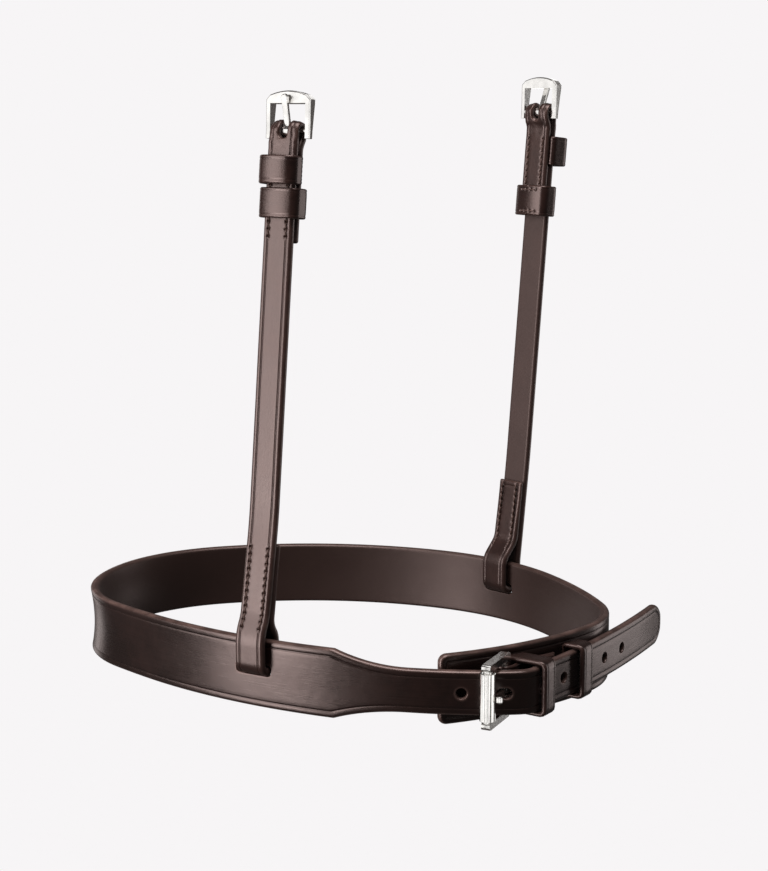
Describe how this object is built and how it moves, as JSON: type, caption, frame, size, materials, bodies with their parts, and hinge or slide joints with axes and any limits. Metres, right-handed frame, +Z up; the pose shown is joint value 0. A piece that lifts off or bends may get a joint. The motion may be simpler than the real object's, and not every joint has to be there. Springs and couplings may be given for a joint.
{
  "type": "standing martingale noseband",
  "caption": "Leather noseband loop with a roller buckle and hanging cheek straps, each with a small buckle and keepers, for use with a standing martingale.",
  "frame": {"origin": "centre of the nose loop, on the plane of the band's lower edge", "axes": "+Z up along the cheek straps, +X towards the jaw side with the roller buckle, +Y towards the right cheek"},
  "size_m": [0.21, 0.1821, 0.2234],
  "materials": {
    "strap_leather": "burnished dark brown bridle leather with creased edges",
    "keeper_leather": "glossy dark brown leather, creased beside both edges",
    "polished_metal": "polished nickel plate",
    "thread": "waxed dark brown linen thread"
  },
  "bodies": {
    "noseband": {"noseband_strap": "strap_leather", "main_chape": "strap_leather", "main_chape_stitching": "thread", "main_keeper_front": "keeper_leather", "main_keeper_rear": "keeper_leather", "main_keeper_stitching": "thread"},
    "main_buckle": {"main_buckle_frame": "polished_metal"},
    "main_tongue": {"main_buckle_tongue": "polished_metal"},
    "main_roller": {"main_buckle_roller": "polished_metal"},
    "cheek_left": {"cheek_strap_left": "strap_leather", "lower_stitching_left": "thread", "upper_stitching_left": "thread", "fixed_keeper_left": "keeper_leather"},
    "buckle_left": {"cheek_buckle_frame_left": "polished_metal"},
    "tongue_left": {"cheek_buckle_tongue_left": "polished_metal"},
    "runner_left": {"runner_keeper_left": "keeper_leather", "runner_stitching_left": "thread"},
    "cheek_right": {"cheek_strap_right": "strap_leather", "lower_stitching_right": "thread", "upper_stitching_right": "thread", "fixed_keeper_right": "keeper_leather"},
    "buckle_right": {"cheek_buckle_frame_right": "polished_metal"},
    "tongue_right": {"cheek_buckle_tongue_right": "polished_metal"},
    "runner_right": {"runner_keeper_right": "keeper_leather", "runner_stitching_right": "thread"}
  },
  "joints": [
    {"name": "main_buckle_swing", "type": "hinge", "parent": "noseband", "child": "main_buckle", "pos_m": [0.08844, -0.03177, 0.0134], "axis": [0, 0, 1], "range_deg": [-3, 1]},
    {"name": "main_tongue_swing", "type": "hinge", "parent": "main_buckle", "child": "main_tongue", "pos_m": [0.08844, -0.03177, 0.0134], "axis": [0, 0, 1], "range_deg": [0, 5]},
    {"name": "main_roller_spin", "type": "hinge", "parent": "main_buckle", "child": "main_roller", "pos_m": [0.09042, -0.04684, 0.0134], "axis": [0, 0, 1], "continuous": true},
    {"name": "cheek_swing_left", "type": "hinge", "parent": "noseband", "child": "cheek_left", "pos_m": [0.00618, -0.06507, 0.0207], "axis": [-0.9997, -0.0262, 0], "range_deg": [-8, 8]},
    {"name": "cheek_buckle_swing_left", "type": "hinge", "parent": "cheek_left", "child": "buckle_left", "pos_m": [0.00559, -0.04237, 0.20322], "axis": [0.9997, 0.0262, 0], "range_deg": [-100, 30]},
    {"name": "cheek_tongue_swing_left", "type": "hinge", "parent": "buckle_left", "child": "tongue_left", "pos_m": [0.00559, -0.04237, 0.20322], "axis": [0.9997, 0.0262, 0], "range_deg": [0, 60]},
    {"name": "runner_slide_left", "type": "slide", "parent": "cheek_left", "child": "runner_left", "axis": [-0.0029, 0.1097, 0.994], "range_m": [-0.095, 0.001]},
    {"name": "cheek_swing_right", "type": "hinge", "parent": "noseband", "child": "cheek_right", "pos_m": [0.02412, 0.08067, 0.0207], "axis": [0.9724, -0.2334, 0], "range_deg": [-7, 8]},
    {"name": "cheek_buckle_swing_right", "type": "hinge", "parent": "cheek_right", "child": "buckle_right", "pos_m": [0.02881, 0.10019, 0.20944], "axis": [-0.9724, 0.2334, 0], "range_deg": [-100, 30]},
    {"name": "cheek_tongue_swing_right", "type": "hinge", "parent": "buckle_right", "child": "tongue_right", "pos_m": [0.02881, 0.10019, 0.20944], "axis": [-0.9724, 0.2334, 0], "range_deg": [0, 60]},
    {"name": "runner_slide_right", "type": "slide", "parent": "cheek_right", "child": "runner_right", "axis": [0.022, 0.0915, 0.9956], "range_m": [-0.09, 0.008]}
  ]
}
